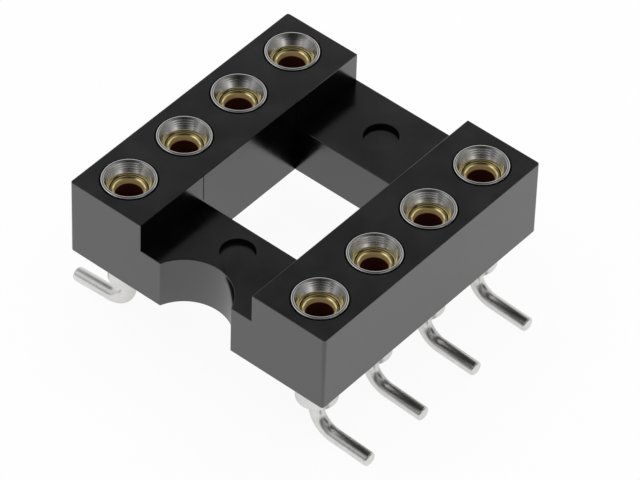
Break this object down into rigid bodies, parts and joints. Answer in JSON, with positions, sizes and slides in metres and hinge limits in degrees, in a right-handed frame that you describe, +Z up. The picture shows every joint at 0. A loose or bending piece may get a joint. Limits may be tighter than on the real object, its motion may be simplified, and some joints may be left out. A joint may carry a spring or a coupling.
{
  "type": "ic socket",
  "caption": "Open-frame dual-in-line IC socket: black moulded rails and crossbars, turned funnel-mouth contacts with gold spring clips, and round tails bent outwards for surface mounting.",
  "frame": {"origin": "on the board under the middle of the socket, at the underside of the feet", "axes": "+Z up out of the board, +X across the two rows, +Y along the rails, away from the index notch"},
  "size_m": [0.012, 0.0102, 0.0058],
  "materials": {
    "moulding": "black glass-filled thermoplastic, semi-gloss from the mould",
    "tin": "turned brass with bright tin plating",
    "gold": "stamped copper alloy with a gold flash"
  },
  "bodies": {
    "root": {"insulator": "moulding", "sleeve_1": "tin", "sleeve_2": "tin", "sleeve_3": "tin", "sleeve_4": "tin", "sleeve_5": "tin", "sleeve_6": "tin", "sleeve_7": "tin", "sleeve_8": "tin", "clip_1": "gold", "clip_2": "gold", "clip_3": "gold", "clip_4": "gold", "clip_5": "gold", "clip_6": "gold", "clip_7": "gold", "clip_8": "gold"}
  },
  "joints": []
}
